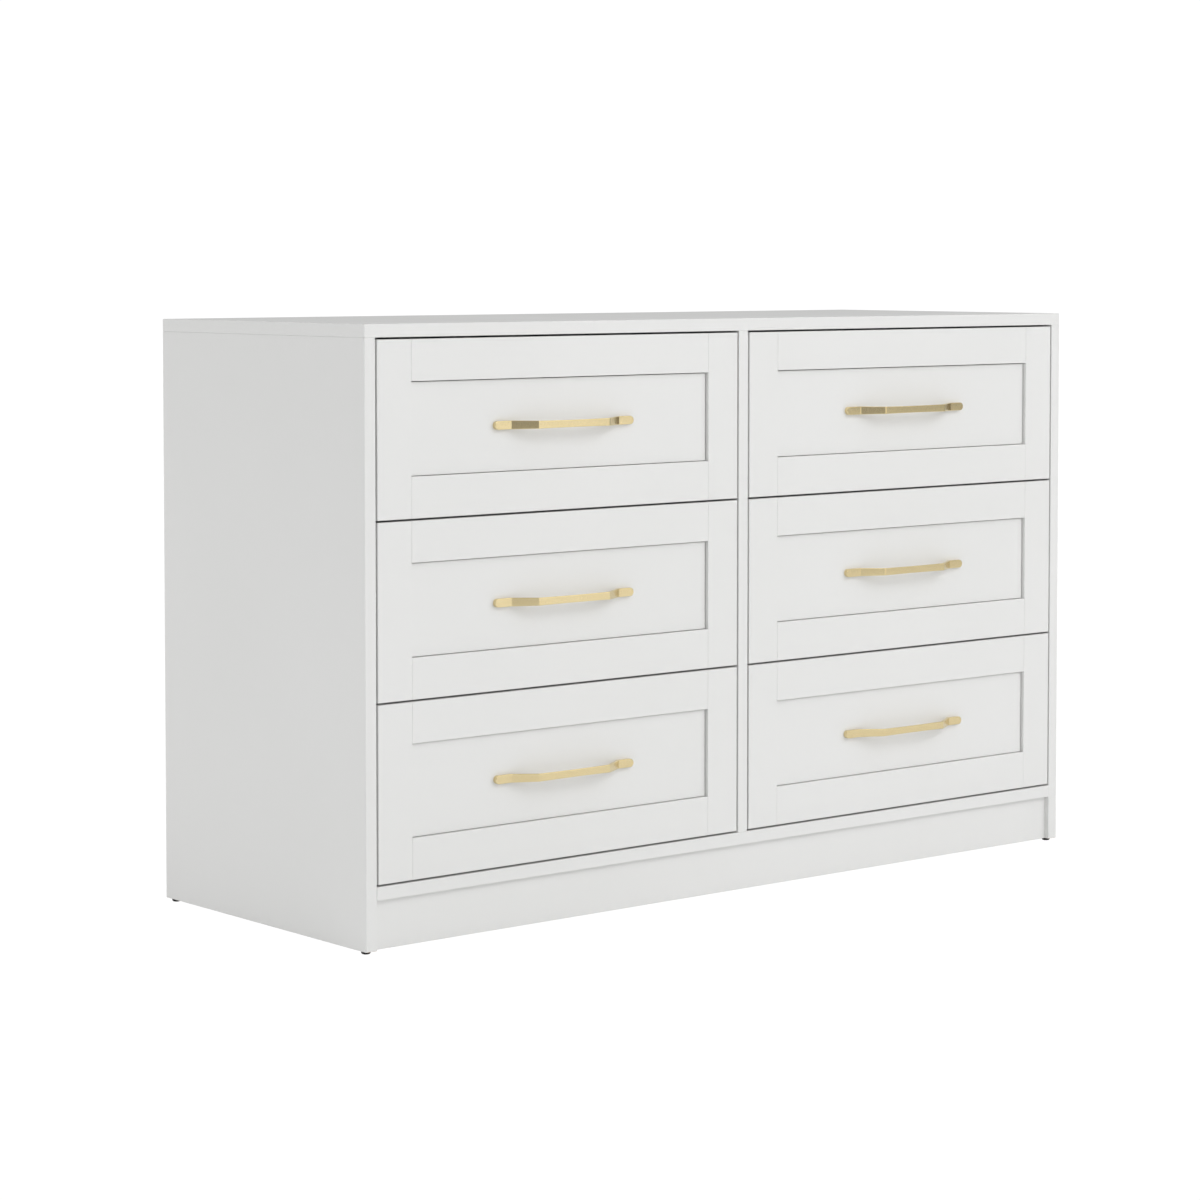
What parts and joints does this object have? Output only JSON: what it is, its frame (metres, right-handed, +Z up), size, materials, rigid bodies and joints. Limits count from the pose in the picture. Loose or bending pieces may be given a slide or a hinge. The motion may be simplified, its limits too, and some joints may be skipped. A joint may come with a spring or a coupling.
{
  "type": "chest of drawers",
  "caption": "Low wide dresser with side-by-side columns of inset framed drawers, strap handles, a recessed plinth and small glide feet; each drawer slides on groove runners.",
  "frame": {"origin": "centre of the overall footprint, handles included, at floor level, which is the underside of the glide feet", "axes": "+Z up, -Y out of the drawer fronts (they open towards -Y), +X along the length, to the right for someone facing the drawers"},
  "size_m": [1.2, 0.4564, 0.746],
  "materials": {
    "white_board": "white satin foil on fibreboard",
    "drawer_board": "matt light melamine on chipboard",
    "hardboard": "thin white-faced hardboard",
    "handle_metal": "satin champagne-gold plating",
    "runner_plastic": "moulded light grey plastic",
    "foot_plastic": "moulded black plastic"
  },
  "bodies": {
    "carcass": {"top_panel": "white_board", "left_side_panel": "white_board", "right_side_panel": "white_board", "centre_divider": "white_board", "bottom_panel": "white_board", "front_plinth": "white_board", "back_panel_left": "hardboard", "back_panel_right": "hardboard", "foot_front_left": "foot_plastic", "foot_front_right": "foot_plastic", "foot_back_left": "foot_plastic", "foot_back_right": "foot_plastic", "drawer_bottom_left_left_runner": "runner_plastic", "drawer_bottom_left_right_runner": "runner_plastic", "drawer_bottom_right_left_runner": "runner_plastic", "drawer_bottom_right_right_runner": "runner_plastic", "drawer_middle_left_left_runner": "runner_plastic", "drawer_middle_left_right_runner": "runner_plastic", "drawer_middle_right_left_runner": "runner_plastic", "drawer_middle_right_right_runner": "runner_plastic", "drawer_top_left_left_runner": "runner_plastic", "drawer_top_left_right_runner": "runner_plastic", "drawer_top_right_left_runner": "runner_plastic", "drawer_top_right_right_runner": "runner_plastic"},
    "drawer_bottom_left": {"drawer_bottom_left_front": "white_board", "drawer_bottom_left_handle": "handle_metal", "drawer_bottom_left_left_side": "drawer_board", "drawer_bottom_left_right_side": "drawer_board", "drawer_bottom_left_back": "drawer_board", "drawer_bottom_left_bottom": "hardboard"},
    "drawer_bottom_right": {"drawer_bottom_right_front": "white_board", "drawer_bottom_right_handle": "handle_metal", "drawer_bottom_right_left_side": "drawer_board", "drawer_bottom_right_right_side": "drawer_board", "drawer_bottom_right_back": "drawer_board", "drawer_bottom_right_bottom": "hardboard"},
    "drawer_middle_left": {"drawer_middle_left_front": "white_board", "drawer_middle_left_handle": "handle_metal", "drawer_middle_left_left_side": "drawer_board", "drawer_middle_left_right_side": "drawer_board", "drawer_middle_left_back": "drawer_board", "drawer_middle_left_bottom": "hardboard"},
    "drawer_middle_right": {"drawer_middle_right_front": "white_board", "drawer_middle_right_handle": "handle_metal", "drawer_middle_right_left_side": "drawer_board", "drawer_middle_right_right_side": "drawer_board", "drawer_middle_right_back": "drawer_board", "drawer_middle_right_bottom": "hardboard"},
    "drawer_top_left": {"drawer_top_left_front": "white_board", "drawer_top_left_handle": "handle_metal", "drawer_top_left_left_side": "drawer_board", "drawer_top_left_right_side": "drawer_board", "drawer_top_left_back": "drawer_board", "drawer_top_left_bottom": "hardboard"},
    "drawer_top_right": {"drawer_top_right_front": "white_board", "drawer_top_right_handle": "handle_metal", "drawer_top_right_left_side": "drawer_board", "drawer_top_right_right_side": "drawer_board", "drawer_top_right_back": "drawer_board", "drawer_top_right_bottom": "hardboard"}
  },
  "joints": [
    {"name": "drawer_bottom_left_slide", "type": "slide", "parent": "carcass", "child": "drawer_bottom_left", "axis": [0, -1, 0], "range_m": [0, 0.28]},
    {"name": "drawer_bottom_right_slide", "type": "slide", "parent": "carcass", "child": "drawer_bottom_right", "axis": [0, -1, 0], "range_m": [0, 0.28]},
    {"name": "drawer_middle_left_slide", "type": "slide", "parent": "carcass", "child": "drawer_middle_left", "axis": [0, -1, 0], "range_m": [0, 0.28]},
    {"name": "drawer_middle_right_slide", "type": "slide", "parent": "carcass", "child": "drawer_middle_right", "axis": [0, -1, 0], "range_m": [0, 0.28]},
    {"name": "drawer_top_left_slide", "type": "slide", "parent": "carcass", "child": "drawer_top_left", "axis": [0, -1, 0], "range_m": [0, 0.28]},
    {"name": "drawer_top_right_slide", "type": "slide", "parent": "carcass", "child": "drawer_top_right", "axis": [0, -1, 0], "range_m": [0, 0.28]}
  ]
}
